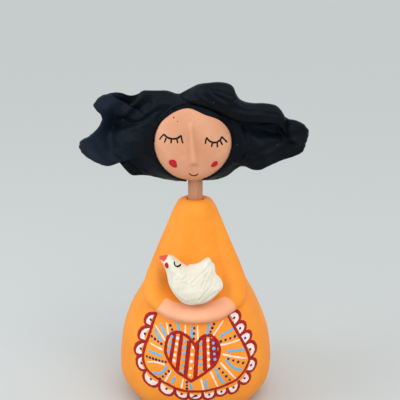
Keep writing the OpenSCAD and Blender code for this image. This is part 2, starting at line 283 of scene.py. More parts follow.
def stroke(surface, line, half, height, taper=0.0):
    # one stroke of paint: rings along a smooth line, each across = w cos t, lift = h sin t above the
    # surface and sink sin t below it; w falls to nothing at the ends as
    # sqrt(1 - (1 - distance / half)^2), and by taper towards the start
    overrun, spacing, sink = half * 0.7, 0.55, 0.12
    sketch = spline(line, np.linspace(0, 1, 200))
    length = np.concatenate([[0], np.cumsum(np.hypot(*np.diff(sketch, axis=0).T))])
    total = length[-1] + 2 * overrun
    count = max(9, int(total / spacing))
    way = total * (1 - np.cos(np.linspace(0.04, 0.96, count) * math.pi)) / 2
    along = way - overrun
    middle = np.stack([np.interp(along, length, sketch[:, k]) for k in range(2)], -1)
    heading = np.gradient(middle, axis=0)
    first, last = sketch[4] - sketch[0], sketch[-1] - sketch[-5]
    for over, end, slope in ((along < 0, sketch[0], first), (along > length[-1], sketch[-1], last)):
        slope = slope / np.linalg.norm(slope)
        spare = np.where(along < 0, along, along - length[-1])
        middle[over] = end + spare[over, None] * slope
        heading[over] = slope
    heading /= np.linalg.norm(heading, axis=1)[:, None]
    near = np.clip(np.minimum(way, total - way) / half, 0, 1)
    share = np.sqrt(1 - (1 - near) ** 2) * (1 - taper * (1 - way / total))
    share = share * (1 + 0.07 * np.sin(along * 1.9 + line[0][0]) + 0.05 * np.sin(along * 0.8 + line[0][1]))
    turn = np.linspace(0, 2 * math.pi, 11)[:-1]
    across = half * share[:, None] * np.cos(turn)
    lift = np.where(np.sin(turn) > 0, height * np.minimum(share, 1)[:, None], sink) * np.sin(turn)
    x = middle[:, :1] - heading[:, 1:] * across
    z = middle[:, 1:] + heading[:, :1] * across
    return blob(surface(x, z, lift))


def patch(surface, ring, height):
    # a film of paint inside a ring: v = sin a shrinks the ring to its middle, the lift is height
    # (cos a)^flat above the surface, so that it is level with a rounded edge, and sink (cos a)^flat below
    # it on the back
    sink, flat = 0.14, 0.4
    ring = np.asarray(ring, float)
    centre = ring.mean(0)
    a = overTheRim(0.05, 9, 5)
    spot = centre + np.sin(a)[..., None] * (ring - centre)
    lift = np.where(np.cos(a) > 0, height, sink) * np.sign(np.cos(a)) * np.abs(np.cos(a)) ** flat
    return blob(surface(spot[..., 0], spot[..., 1], np.broadcast_to(lift, spot.shape[:2])))


def dot(surface, x, z, radius, height, squash=1.0, lean=0.0):
    # a round or oval dab of paint: a ring of 14 points at (radius cos t, squash * radius sin t), turned by
    # lean degrees
    t = np.linspace(0, 2 * math.pi, 15)[:-1]
    lean = math.radians(lean)
    u, v = radius * np.cos(t), radius * squash * np.sin(t)
    return patch(surface, np.stack([x + u * math.cos(lean) - v * math.sin(lean),
                                    z + u * math.sin(lean) + v * math.cos(lean)], -1), height)


def dotRow(surface, start, end, count, radius, height):
    # dabs spread evenly from start to end, each a touch larger or smaller than the last
    steps = np.linspace(0, 1, count)
    return [dot(surface, start[0] + (end[0] - start[0]) * f, start[1] + (end[1] - start[1]) * f,
                radius * (1 + 0.12 * math.sin(7 * f + start[0])), height) for f in steps]


stageLook = {
    "aim": (3.2, 0, 141), "distance": 650, "elevation": 15, "lens": 85.4,
    "floor": (201, 203, 201), "sky": (236, 240, 243), "skyStrength": 0.93,
    # sun: where the light comes from, how wide it looks, its strength
    "sun": {"from": (0.3, -0.75, 0.9), "width": 50, "strength": 0.75, "colour": (1.0, 0.985, 0.96)},
    # window: a cool panel on the left that shows in the glossy hair
    "window": {"at": (-700, -250, 520), "size": 420, "power": 1.9, "colour": (0.84, 0.92, 1.0)},
    # fill: a broad soft panel high in front, a little to the right, that lifts the near floor and the dress
    "fill": {"at": (260, -520, 700), "size": 900, "power": 1.0, "colour": (1.0, 0.99, 0.97)},
}


def setStage():
    # camera, lights, sky and floor, none of them part of the figure
    scene = bpy.context.scene
    scene.view_settings.view_transform = "Standard"
    aim = Vector(stageLook["aim"]) * mm
    tilt = math.radians(stageLook["elevation"])
    camera = bpy.data.objects.new("camera", bpy.data.cameras.new("camera"))
    camera.data.lens = stageLook["lens"]
    camera.data.sensor_width = 36
    camera.data.clip_end = 100
    camera.location = aim + Vector((0, -math.cos(tilt), math.sin(tilt))) * stageLook["distance"] * mm
    camera.rotation_euler = (math.pi / 2 - tilt, 0, 0)
    scene.collection.objects.link(camera)
    scene.camera = camera

    look = stageLook["sun"]
    sun = bpy.data.objects.new("sunLight", bpy.data.lights.new("sunLight", "SUN"))
    sun.data.angle = math.radians(look["width"])
    sun.data.energy = look["strength"]
    sun.data.color = look["colour"]
    sun.rotation_euler = Vector(look["from"]).to_track_quat("Z", "Y").to_euler()
    scene.collection.objects.link(sun)

    for name in ("window", "fill"):
        look = stageLook[name]
        panel = bpy.data.objects.new(f"{name}Light", bpy.data.lights.new(f"{name}Light", "AREA"))
        panel.data.size = look["size"] * mm
        panel.data.energy = look["power"]
        panel.data.color = look["colour"]
        panel.location = Vector(look["at"]) * mm
        panel.rotation_euler = (aim - panel.location).to_track_quat("-Z", "Y").to_euler()
        scene.collection.objects.link(panel)

    world = bpy.data.worlds.new("studio")
    world.use_nodes = True
    sky = next(n for n in world.node_tree.nodes if n.type == "BACKGROUND")
    sky.inputs["Color"].default_value = tint(*stageLook["sky"])
    sky.inputs["Strength"].default_value = stageLook["skyStrength"]
    scene.world = world

    bench = Bench("floorPaint", Roughness=0.8, Specular_IOR_Level=0.2)
    mesh = bpy.data.meshes.new("floor")
    reach = 12  # metres, past the edge of every view
    mesh.from_pydata([(-reach, -reach, 0), (reach, -reach, 0), (reach, reach, 0), (-reach, reach, 0)], [],
                     [(0, 1, 2, 3)])
    mesh.materials.append(bench.finish(tint(*stageLook["floor"])))
    floor = bpy.data.objects.new("floor", mesh)
    scene.collection.objects.link(floor)
    print("stage set")


setStage()


dressShape = {
    "profile": [[0, 36], [3, 43], [8, 47.8], [16, 51.8], [26, 53.3], [40, 52.5], [54, 49.3], [68, 43.9],
                [80, 37.4], [92, 30.2], [104, 24.4], [116, 20], [128, 16.6], [136, 14.2], [141, 11.6],
                [142.5, 9.2]],                     # height, radius
    # the neck hole from its lip down: radius, height
    "lip": [[7.6, 142.7], [6.4, 142.2], [5.8, 141.6], [5.4, 140.8], [5.3, 138], [7.5, 138], [7.5, 131.5]],
    # the hollow inside: wall thickness, the heights where its radius is taken, the ledge that the base
    # sits in
    "wall": 4, "inside": [126, 112, 98, 84, 70, 52, 34, 20, 11], "ledge": [[38, 6.5], [30, 3], [30, 0]],
    # rows of faces up the outside: from height, to height, count
    "rows": [[0, 9, 14], [9, 62, 54], [62, 106, 88], [106, 134, 40], [134, 142.5, 22]],
    # columns: half angle of the finely divided front, how many there, how many behind
    "columns": [96, 301, 86],
    # middle line of an arm: angle from the front, height, half width, relief, sharpness of its edge
    "arm": [[84, 136, 5, 0.4, 1.6], [77, 126, 7.5, 2.2, 1.5], [73, 114, 9, 4, 1.3],
            [67, 102, 9.8, 5.8, 1.0], [60, 92, 10, 7, 0.78], [47, 84, 8.8, 7.4, 0.72],
            [34, 79.4, 7.2, 7.3, 0.8], [22, 76.4, 6.5, 7.2, 0.75], [11, 75, 6.1, 7.1, 0.7],
            [0, 74.5, 6, 7, 0.7]],
    # hollows: angle either side of the front, height, reach round, reach up, depth
    "hollows": [[27, 94, 12, 11, 2.8], [0, 108, 26, 18, 1.2]],
    "wobble": [[34, 0.35], [11, 0.1]],  # size, height
    # painted shade in the hollows by the bird, where more pits also gather: across, height, reach across,
    # reach up
    "hollowShadeAndPits": [[-24, 97, 3, 8], [-21.5, 91, 3, 6], [21.5, 87, 3.4, 6]],
    # edge of the bare forearms: across, height
    "skin": [[-27.4, 73.4], [-24, 77.8], [-19.6, 82.6], [-14.5, 81.2], [-8, 80.5], [-1, 80.3], [6, 80.6],
             [13, 81.8], [19.6, 83.2], [23.6, 81.8], [26, 79], [26.8, 75.8], [25, 73.2], [20, 70.8],
             [12, 69], [3, 68.4], [-6, 68.3], [-14, 68.8], [-20.5, 70], [-25, 72.2]],
}
shellCurve = spline(dressShape["profile"], np.linspace(0, 1, 400))
armPath = spline(dressShape["arm"], np.linspace(0, 1, 110))
armPath = np.concatenate([armPath, armPath * [-1, 1, 1, 1, 1]])


def shellRadius(z):
    # radius of the turned shell at a height, read between the points of its profile's curve
    return np.interp(z, shellCurve[:, 0], shellCurve[:, 1])


def armRelief(angle, z):
    # the highest of many round bumps along the arm: relief (1 - (distance / half width)^2)^sharpness
    flatAngle, flatZ = np.ravel(angle), np.ravel(z)
    out = np.zeros(len(flatAngle))
    near = np.flatnonzero((flatZ > 60) & (flatZ < 142) & (np.abs(flatAngle) < 125))
    for part in np.array_split(near, max(1, len(near) // 8000)):
        a, h = flatAngle[part, None], flatZ[part, None]
        across = np.radians(a - armPath[:, 0]) * shellRadius(h)
        d = np.hypot(across, h - armPath[:, 1]) / armPath[:, 2]
        bump = armPath[:, 3] * np.clip(1 - d * d, 0, 1) ** armPath[:, 4]
        out[part] = bump.max(1)
    return out.reshape(np.shape(angle))


def dressRadius(angle, z):
    # radius of the dress round its axis: the turned shell, plus the arms, less the hollows, plus a slight
    # wobble
    r = shellRadius(z)
    turn = np.radians(angle)
    x, y = r * np.sin(turn), -r * np.cos(turn)
    fade = ease((z - 1) / 8) * ease((140 - z) / 6)
    for size, height in dressShape["wobble"]:
        r = r + height * fade * unevenness(x, y, z, size, int(size))
    for place, height, wide, tall, depth in dressShape["hollows"]:
        side = (np.abs(angle) - place) / wide
        r = r - depth * np.exp(-side * side - ((z - height) / tall) ** 2)
    return r + armRelief(angle, z)


def onDress(x, z, lift):
    # the point of the dress in front of (x, z), lifted outwards: the angle is found by repeating
    # asin(x / radius)
    angle = np.degrees(np.arcsin(np.clip(x / (shellRadius(z) + 1), -0.99, 0.99)))
    for _ in range(4):
        r = dressRadius(angle, z) + lift
        angle = np.degrees(np.arcsin(np.clip(x / r, -0.99, 0.99)))
    turn = np.radians(angle)
    return np.stack([r * np.sin(turn), -r * np.cos(turn), np.broadcast_to(z, np.shape(r))], -1)


def dressPaint():
    # orange emulsion over paper pulp, skin colour on the bare forearms, painted shade and more pits in the
    # hollows by the bird, small pits and dust
    bench = Bench("dressPaint", Specular_IOR_Level=0.35)
    broad, fine = bench.noise(22, 2), bench.noise(1.1, 4, 0.6)
    orange = bench.mix(broad.step(0.3, 0.7), tint(250, 148, 32), tint(255, 158, 42))
    orange = bench.mix(fine.step(0.35, 0.75) * 0.35, orange, tint(236, 130, 26))
    hollowShadeAndPits = bench.attribute("hollow")
    # painted shade: the orange turns darker in the hollows by the bird, broken up by the fine noise
    orange = bench.mix(hollowShadeAndPits * (0.1 + fine * 0.7), orange, tint(204, 112, 34))
    skin = bench.mix(broad.step(0.35, 0.7), tint(246, 172, 130), tint(252, 182, 142))
    skin = bench.mix(fine.step(0.4, 0.8) * 0.3, skin, tint(222, 152, 116))
    bare = bench.attribute("armEdge").step(-0.12, 0.12)
    pits = bench.specks(3.8, 0.3, 0.22) * (0.7 + hollowShadeAndPits)
    dust = bench.specks(1.7, 0.15, 0.18)
    colour = bench.mix(bare, orange, skin)
    colour = bench.mix(pits * 0.85 + dust * 0.5, colour, tint(124, 62, 20))
    height = fine * 0.25 + bench.noise(0.45, 2) * 0.12 - pits * 0.9 - dust * 0.3
    return bench.finish(colour, 0.5 + broad * 0.12, height, 0.16)


def makeDress():
    # columns go round the axis, close together over the arms; rows go up the outside, into the neck hole and
    # down inside: x = r sin(angle), y = -r cos(angle)
    side, frontCount, backCount = dressShape["columns"]
    angle = np.concatenate([np.linspace(-side, side, frontCount),
                            np.linspace(side, 360 - side, backCount)[1:-1]])
    heights = np.concatenate([np.linspace(low, high, count)[:-1] for low, high, count in dressShape["rows"]]
                             + [[dressShape["rows"][-1][1]]])
    a, z = np.meshgrid(np.where(angle > 180, angle - 360, angle), heights)
    r = dressRadius(a, z)
    inner = np.array(dressShape["lip"]
                     + [[shellRadius(h) - dressShape["wall"], h] for h in dressShape["inside"]]
                     + dressShape["ledge"])
    r = np.concatenate([r, np.broadcast_to(inner[:, :1], (len(inner), len(angle)))])
    z = np.concatenate([z, np.broadcast_to(inner[:, 1:], (len(inner), len(angle)))])
    turn = np.radians(angle)
    grid = np.stack([r * np.sin(turn), -r * np.cos(turn), z], -1)
    edge = insideDistance(grid[..., 0], grid[..., 2], spline(dressShape["skin"], np.linspace(0, 1, 80), True))
    edge = np.where(grid[..., 1] < 0, edge, -5)
    # where shade is painted in the hollows by the bird, and where the pits crowd
    hollow = sum(np.exp(-((grid[..., 0] - x) / wide) ** 2 - ((grid[..., 2] - h) / tall) ** 2)
                 for x, h, wide, tall in dressShape["hollowShadeAndPits"]) * (grid[..., 1] < 0)
    makePiece("dressSkin", [ringShell(grid)], "dress", dressPaint(),
              ("dress_shell", "sleeve_left", "sleeve_right", "forearms"), {"armEdge": edge, "hollow": hollow})


makeDress()


# all places on the dress below are (across, height) as seen from the front
apronShape = {
    "edge": [[-26.5, 70.5], [-28.5, 65], [-31, 57], [-33.5, 50.5], [-35, 44.5], [-35, 40], [-33, 35.5],
             [-29.5, 32.5], [-23.5, 29.5], [-18, 27.5], [-11.5, 25], [-4.5, 24], [0, 24], [4.5, 24],
             [9, 24.5], [16, 25.5], [21.5, 27], [27.5, 29], [33, 33.5], [35.5, 37.5], [36.5, 41],
             [34.5, 47], [32.5, 51.5], [29, 58], [26, 63.5], [22, 71.5]],
    "anchors": [[-26, 71], [-30, 62.5], [-33.5, 52.5], [-35.5, 43], [-33.5, 33.5], [-23.5, 28], [-13.5, 24.5],
                [-4.5, 22.5], [5, 22.5], [13.5, 23.5], [21.5, 24], [29, 27.5], [34.5, 32.5], [37.5, 40.5],
                [33, 50], [30, 57], [26.5, 64], [22, 71.5]],  # where scallops meet on the edge
    "tips": [[-33.5, 66.5], [-38, 56], [-41, 45], [-39.5, 36], [-32, 24], [-20.5, 19.5], [-9, 18],
             [0, 17.5], [9.5, 17.5], [17.5, 19], [26.5, 19.5], [36, 24.5], [41, 33.5], [40.5, 48],
             [37.5, 56], [33.5, 63], [29.5, 70.5]],  # outermost point of each scallop
    # half widths and heights of the paint, and the radius of the dab in each scallop
    "edgeHalf": 0.9, "scallopHalf": 1.0, "fillHeight": 0.08, "lineHeight": 0.4, "eyeRadius": 0.8,
    "eyeHeight": 0.3, "smearHeight": 0.2,
    "smear": [[-2.2, 19.4], [-0.6, 20.2], [1.2, 20.6]],  # where the lowest dab was dragged
}
heartShape = {
    "left": [[-2.5, 31], [-6.5, 34], [-12, 37.5], [-16.5, 43], [-19.5, 48.5], [-19.5, 52.5], [-19, 56],
             [-17.5, 59.5], [-14, 62], [-10, 62.5], [-6, 61], [-2.5, 58], [0.5, 54]],
    "right": [[0.5, 53], [1.5, 56.5], [4.5, 60], [7.5, 61], [11, 60.5], [14, 57.5], [16, 53.5], [16, 49.5],
              [14.5, 44.5], [12.5, 41.5], [8.5, 38.5], [3.5, 35], [-2.5, 31.5]],
    "outlineHalf": 1.0, "outlineHeight": 0.36, "stripeHeight": 0.26,
    # stripe: top, bottom, half width
    "stripes": [[[-13.5, 61.5], [-16.5, 43], 1.15], [[-9, 61], [-12, 37.5], 1.3], [[-4, 57], [-6.5, 34], 1.4],
                [[1.5, 56.5], [0, 33], 1.4], [[6, 60], [6.5, 39], 1.4], [[10.5, 59], [11, 41], 1.3],
                [[13, 57.5], [13, 44], 1.9]],
    # rows of dabs inside: start, end, count
    "blueRows": [[[-15.5, 59.5], [-17.5, 50], 4], [[-6.5, 57.5], [-8.5, 38], 6], [[3.5, 56], [3.5, 38.5], 5],
                 [[12, 56], [13, 45.5], 4]],
    "whiteRows": [[[-11.5, 59], [-14, 44.5], 5], [[-1.5, 53.5], [-3.5, 35.5], 5], [[8.5, 58], [9, 41.5], 5]],
    "dabRadius": 1.0, "dabHeight": 0.42,
}
rayShape = {
    "white": [[[-26.5, 64], [-19, 55.5]], [[-19, 67], [-17.5, 60]], [[-6.5, 67], [-6.5, 61.5]],
              [[1.5, 67], [2, 57]], [[18.5, 68.5], [10.5, 59]], [[30.5, 54.5], [16, 54]],
              [[34.5, 41.5], [18.5, 48]], [[27, 30], [17, 42.5]], [[15.5, 25], [10.5, 37]],
              [[6, 23], [4, 32]], [[-8, 32.5], [-9, 26.5]], [[-16, 37.5], [-20, 29.5]],
              [[-32, 40], [-26, 41.5], [-20.5, 41]], [[-30, 52.5], [-22, 50.5]]],
    "blue": [[[-23, 65.5], [-20, 60]], [[-12, 68], [-10.5, 64]], [[-2.2, 66.5], [-2.2, 60]],
             [[9.5, 68.5], [7.5, 61]], [[25.5, 62.5], [16.5, 59.5]], [[34.5, 47.5], [21.5, 49.5]],
             [[20.5, 44], [25, 38.5], [30.5, 35]], [[13.5, 39], [15.5, 34], [19, 28.5]],
             [[7, 32], [7, 28.5], [8.5, 25.5]], [[-3, 29.5], [-2.5, 25.5]], [[-13.5, 33.5], [-15.5, 28.5]],
             [[-19, 40], [-22.5, 35], [-28, 33.5]], [[-31, 47.5], [-22, 46.5]],
             [[-26.5, 62], [-25.5, 59], [-22.5, 56]]],
    # rows of navy dabs: start, end, count
    "navyRows": [[[-16.5, 66], [-14, 61.5], 3], [[-0.5, 65.5], [-1, 59], 3], [[12.5, 67.5], [9, 61], 4],
                 [[26.5, 57.5], [17, 56.5], 4], [[22, 44.5], [35.5, 37.5], 5], [[16, 39], [23, 30], 4],
                 [[-5.5, 30.5], [-5.5, 26], 3], [[-17.5, 37], [-23.5, 30.5], 4],
                 [[-32.5, 43.5], [-19.5, 43], 7], [[-22.5, 54], [-29, 57], 4]],
    "whiteHalf": 0.75, "blueHalf": 0.86, "navyRadius": 0.82,
    "whiteHeight": 0.22, "blueHeight": 0.26, "navyHeight": 0.34,
}


def brushedPaint(name, main, shade, roughness=0.42):
    # acrylic put on with a small brush: two tones that follow the brush, fine ridges
    bench = Bench(name, Specular_IOR_Level=0.18)
    drag, fine = bench.noise(2.2, 3, 0.6, (1, 1, 0.6)), bench.noise(0.5, 3)
    colour = bench.mix(drag.step(0.35, 0.72) * 0.9, tint(*main), tint(*shade))
    return bench.finish(colour, roughness + fine * 0.15, drag * 0.6 + fine * 0.4, 0.12)


def scallopLine(a, b, tip):
    # a scallop from a to b through its tip: half an ellipse, at 30 and 60 degrees 1/2 and 0.866 of the
    # way out
    a, b, tip = (np.array(p, float) for p in (a, b, tip))
    chord, rise = b - a, tip - (a + b) / 2
    return np.array([a, a + 0.04 * chord + 0.5 * rise, a + 0.2 * chord + 0.866 * rise, tip,
                     b - 0.2 * chord + 0.866 * rise, b - 0.04 * chord + 0.5 * rise, b])


def makeDressPaint():
    # scallops, heart and rays in strokes, films and dabs: each of the five colours is one piece
    look, heart, rays = apronShape, heartShape, rayShape
    red = [stroke(onDress, look["edge"], look["edgeHalf"], look["lineHeight"])]
    fill, navy, white, blue = [], [], [], []
    for a, b, tip in zip(look["anchors"][:-1], look["anchors"][1:], look["tips"]):
        line = scallopLine(a, b, tip)
        red.append(stroke(onDress, line, look["scallopHalf"], look["lineHeight"] * 0.9))
        outline = spline(line, np.linspace(0, 1, 33))
        fill.append(patch(onDress, outline[:-1], look["fillHeight"]))
        spot = np.array(tip) * 0.35 + (np.array(a) + np.array(b)) * 0.325
        navy.append(dot(onDress, *spot, look["eyeRadius"], look["eyeHeight"]))
    navy.append(stroke(onDress, look["smear"], look["eyeRadius"], look["smearHeight"], taper=0.4))
    for side in ("left", "right"):
        red.append(stroke(onDress, heart[side], heart["outlineHalf"], heart["outlineHeight"]))
    for top, bottom, half in heart["stripes"]:
        red.append(stroke(onDress, [top, bottom], half, heart["stripeHeight"]))
    for start, end, count in heart["blueRows"]:
        blue += dotRow(onDress, start, end, count, heart["dabRadius"], heart["dabHeight"])
    for start, end, count in heart["whiteRows"]:
        white += dotRow(onDress, start, end, count, heart["dabRadius"], heart["dabHeight"])
    for line in rays["white"]:
        white.append(stroke(onDress, line, rays["whiteHalf"], rays["whiteHeight"], taper=0.45))
    for line in rays["blue"]:
        blue.append(stroke(onDress, line, rays["blueHalf"], rays["blueHeight"], taper=0.2))
    for start, end, count in rays["navyRows"]:
        navy += dotRow(onDress, start, end, count, rays["navyRadius"], rays["navyHeight"])
    for name, shells, main, shade in (("scallopFill", fill, (250, 232, 226), (246, 212, 204)),
                                      ("redPaint", red, (176, 30, 30), (144, 18, 20)),
                                      ("whitePaint", white, (255, 234, 222), (254, 208, 178)),
                                      ("bluePaint", blue, (104, 190, 240), (86, 172, 226)),
                                      ("navyPaint", navy, (32, 36, 104), (22, 24, 74))):
        makePiece(name, shells, "dress", brushedPaint(name, main, shade))


makeDressPaint()


# places on the bird are (across, up) from its middle
birdShape = {
    # middle; degrees that the middle plane leans, its depth; how far the front and the back stand out of it
    "at": (-1.4, 94.4), "lean": 20, "plane": -45.5, "front": 7, "back": 13,
    "lumps": [[0.22, 9, 5], [0.07, 3, 6]],  # height, size, seed
    "outline": [[-22.2, 17], [-20, 17.5], [-16.5, 18], [-14, 17.2], [-12, 15.6], [-9.5, 13.6], [-6.5, 11.9],
                [-4.2, 10.9], [-2, 11.7], [2, 12.2], [5, 13.4], [7.6, 15], [9.2, 16.1], [10.8, 16.2],
                [11.8, 15], [12.4, 13.6], [14, 12.3], [14.6, 10.3], [14.8, 7.5], [15.8, 5.6], [18, 3.6],
                [19.3, 1.5], [19.7, -0.6], [19.2, -2.7], [17, -4.9], [14, -7.8], [11, -9.9], [7.2, -11.4],
                [3.4, -12.2], [-0.5, -12.5], [-4.2, -12], [-7.2, -10.8], [-10, -8.4], [-13, -5],
                [-15, -1.8], [-16, 0.6], [-16.6, 3.2], [-17.2, 6.1], [-18.3, 9.6], [-19.8, 12.8],
                [-21.2, 15]],
    "plinth": 80,  # height at which the middle plane is at "plane"; above, it leans lean degrees
    # edge of the folded wing, and a line that closes it behind
    "wingEdge": [[-4, 10.6], [-9.5, 9.4], [-13, 6.2], [-14.2, 2.6], [-13.8, -1], [-12, -4.4], [-8, -7.8],
                 [-3, -9.6]],
    "wingBehind": [[11, -4], [13, 6], [10, 14]],
    # feathers pressed in with a tool: line, half width, depth
    "grooves": [[[[1.8, 9.4], [-2.6, 7.2], [-6.4, 5.4]], 0.5, 0.32],
                [[[1.4, 10], [-2, 8.8], [-5.6, 6.4]], 0.45, 0.24],
                [[[10.8, 13.6], [8.8, 11], [3.4, 6.8], [-0.4, 3]], 0.6, 0.34],
                [[[11, 11.8], [9.4, 8.2], [7.2, 4], [5, -0.8]], 0.55, 0.26],
                [[[12.8, 12], [13.6, 7.6], [12.8, 3.2], [10.2, -0.8], [6.4, -5], [3.8, -8.4]], 0.6, 0.32],
                [[[19, -2.6], [14, -4.2], [8.8, -7.8], [5.6, -10.6]], 0.6, 0.3],
                [[[-4.2, -8.8], [-2, -11.2]], 0.5, 0.35]],
    # the beak's edge, which runs past the outline; the cheek: across, up, radius, squash, lean
    "beak": [[-24, 16], [-23, 19.5], [-16.4, 19.5], [-17.4, 16.7], [-19.2, 15], [-20.6, 15.7]],
    "cheek": [-17.2, 13, 1.4, 1.35, 5],
    "eye": [[-12.2, 14.9], [-12, 13.8], [-11.2, 12.9], [-9.8, 12.5], [-8, 12.5]],
}
birdRing = spline(birdShape["outline"], np.linspace(0, 1, 301)[:-1], True)
birdReach = reachOf(birdRing)
birdWingLine = spline(birdShape["wingEdge"], np.linspace(0, 1, 60))


def birdPlane(z):
    # where the bird's middle plane lies at a height from its middle: it leans back as it rises
    rise = z + birdShape["at"][1] - birdShape["plinth"]
    return birdShape["plane"] + rise * math.tan(math.radians(birdShape["lean"]))


def birdDetail(x, z):
    # relief of the bird's front: the wing stands 0.5 above the breast with a soft step, and a crease 0.28
    # deep runs along its edge; each groove is sunk by 1.5 depth exp(-(distance / half)^2), and a ridge of
    # 0.6 depth runs 2.2 half widths from its middle
    step = lineDistance(x, z, birdWingLine)
    relief = -0.28 * np.exp(-(step / 0.8) ** 2)
    inWing = insideDistance(x, z, np.concatenate([birdWingLine, birdShape["wingBehind"]]))
    relief = relief + 0.5 * ease((inWing + 0.8) / 2.4)
    for line, half, depth in birdShape["grooves"]:
        d = lineDistance(x, z, spline(line, np.linspace(0, 1, 24)))
        relief = relief - 1.5 * depth * np.exp(-(d / half) ** 2)
        relief = relief + depth * 0.6 * np.exp(-((d - 2.2 * half) / half) ** 2)
    return relief


def onBird(x, z, lift):
    # the point of the bird's front at (x, z) from its middle: front * (1 - v^2.6)^0.55, v the share of
    # the way out
    v = np.clip(np.hypot(x, z) / birdReach(x, z), 0, 1)
    pillow = (1 - v ** 2.6) ** 0.55
    atX, atZ = birdShape["at"]
    relief = birdShape["front"] * pillow + birdDetail(x, z) * ease((1 - v) * 6)
    return np.stack([x + atX, birdPlane(z) - relief - lift, z + atZ], -1)


def birdPaint():
    # off-white emulsion, a little stained, with pits; red inside the beak's edge
    bench = Bench("birdWhite", Specular_IOR_Level=0.35)
    broad, fine = bench.noise(9, 3), bench.noise(0.9, 4, 0.65)
    stain = bench.noise(4, 4, 0.7, (1, 1, 0.7), 0.8)
    colour = bench.mix(broad.step(0.3, 0.7), tint(235, 229, 212), tint(227, 219, 200))
    colour = bench.mix(stain.step(0.52, 0.78) * 0.7, colour, tint(206, 196, 176))
    pits = bench.specks(3, 0.26, 0.24)
    colour = bench.mix(pits * 0.8, colour, tint(132, 118, 96))
    beak = bench.attribute("beakEdge").step(-0.15, 0.15)
    colour = bench.mix(beak, colour, bench.mix(fine.step(0.3, 0.8), tint(228, 88, 66), tint(208, 68, 52)))
    height = fine * 0.4 + bench.noise(2.2, 3, 0.5, (1, 1, 0.5)) * 0.5 - pits * 0.7
    return bench.finish(colour, 0.55 + fine * 0.15, height, 0.3)


def makeBird():
    # rings from the front's middle over the rim to the back's: v = sin(a)^(2/2.6), back = depth
    # cos(a)^1.1 until it meets the chest
    a = overTheRim(0.004, 100, 44)
    spot = np.sin(a)[..., None] ** (2 / 2.6) * birdRing
    x, z = spot[..., 0], spot[..., 1]
    grid = onBird(x, z, 0.0)
    atX, atZ = birdShape["at"]
    plane = birdPlane(z)
    back = plane + birdShape["back"] * np.abs(np.cos(a)) ** 1.1
    chest = onDress(x + atX, z + atZ, 0.0)[..., 1]
    grid[..., 1] = np.where(a < math.pi / 2, grid[..., 1], np.minimum(back, np.maximum(chest + 0.4, plane)))
    wobble = lumps(*np.moveaxis(grid, -1, 0), birdShape["lumps"])
    grid[..., 1] -= wobble * (a < math.pi / 2)
    edge = insideDistance(x, z, spline(birdShape["beak"], np.linspace(0, 1, 40), True))
    # the two points that close the blob lie outside the beak
    edge = np.concatenate([np.ravel(edge), [-9, -9]])
    makePiece("bird", [blob(grid)], "dress", birdPaint(), ("bird_body", "bird_wing"),
              {"beakEdge": edge})
    x, z, radius, squash, lean = birdShape["cheek"]
    cheek = dot(onBird, x, z, radius, 0.42, squash, lean)
    red = brushedPaint("cheekRed", (200, 30, 46), (180, 24, 40))
    makePiece("birdCheek", [cheek], "dress", red)
    makePiece("birdEye", [stroke(onBird, birdShape["eye"], 0.4, 0.36)], "dress",
              brushedPaint("inkBlack", (12, 12, 15), (22, 22, 26), 0.5))


makeBird()


# places on the face are (across, up) from its middle
faceShape = {
    "at": (-1.2, 0, 184.3), "radius": 26.5,
    # the chin, which reaches further than the radius: direction and spread in degrees, extra reach
    "jaw": (250, 60, 2.3),
    # how far the face and the nape stand out, how square the head's section is
    "bulge": 15, "nape": 13, "power": 3.3,
    "lumps": [[0.16, 15, 8]],  # height, size, seed
    "bore": 5.06, "boreFoot": 150, "boreTop": 178,
    # nose, from the brow down: across, up, half width, relief
    "nose": [[-1.8, 13, 1.4, 0], [-1.6, 10, 1.8, 1.1], [-1.2, 5, 2.2, 2.1], [-0.8, 0, 2.6, 3],
             [-0.3, -5, 3, 3.9], [0.1, -9, 3.4, 4.7], [0.3, -12.4, 3.6, 5], [0.4, -14, 3.7, 3.8],
             [0.4, -15.4, 3.5, 1], [0.4, -16.6, 3.2, 0]],
    "pits": [[-12.8, 16, 0.8, 0.3], [-10.3, 13.7, 0.5, 0.15]],  # small dents: across, up, radius, depth
    "lids": [[[-19.5, 5], [-17.5, 3.3], [-15.5, 2.5], [-13, 2.2], [-10.2, 2.9], [-8, 4.5]],
             [[8.7, 3], [10.7, 0.8], [12.5, 0], [14.2, -0.3], [16.3, 0.3], [17.8, 1.6], [19, 3.3]]],
    "lashes": [[[-19.6, 4.9], [-21.2, 3], [-22.2, 1.4]], [[-18, 2.4], [-19, -0.3]],
               [[-14.5, 1.8], [-14.7, -0.6]], [[-10.9, 2.2], [-10.3, -0.4]],
               [[-7.8, 4.2], [-7.6, 1.8], [-6.9, -0.4]], [[8.3, 2], [8, -0.8]], [[12.6, -0.4], [12, -3]],
               [[15.7, -0.4], [15.9, -3.3]], [[17.8, 0.9], [19.1, -1.9]],
               [[19.1, 3.1], [20.5, 1.5], [22.2, -0.5]]],
    "lidHalf": 0.64, "lashHalf": 0.54,
    "cheeks": [[[-16.4, -13.4], [-15.4, -12.2], [-13.6, -11.8], [-11.8, -12.6], [-11, -14.6], [-10.9, -17],
                [-12.6, -17.6], [-14.6, -16.7], [-16, -15.2]],
               [[11.9, -15.6], [13.4, -13.7], [15.4, -13], [16.4, -14.2], [15.8, -16.2], [13.6, -17.4],
                [12.1, -17.1]]],
    "mouth": [[-2.9, -21.6], [-1.4, -22.8], [0.4, -23.3], [1.9, -22.9], [3, -21.8]], "mouthHalf": 0.42,
    "marks": [[-12.8, 16, 0.5], [-10.3, 13.7, 0.32]],  # small dark marks: across, up, radius
}
nosePath = spline(faceShape["nose"], np.linspace(0, 1, 80))


def headReach(x, z):
    # how far the head reaches from its middle towards (x, z): radius + extra
    # exp(-(turn from the chin / spread)^2)
    aim, spread, extra = faceShape["jaw"]
    turn = (np.degrees(np.arctan2(z, x)) - aim + 180) % 360 - 180
    return faceShape["radius"] + extra * np.exp(-(turn / spread) ** 2)


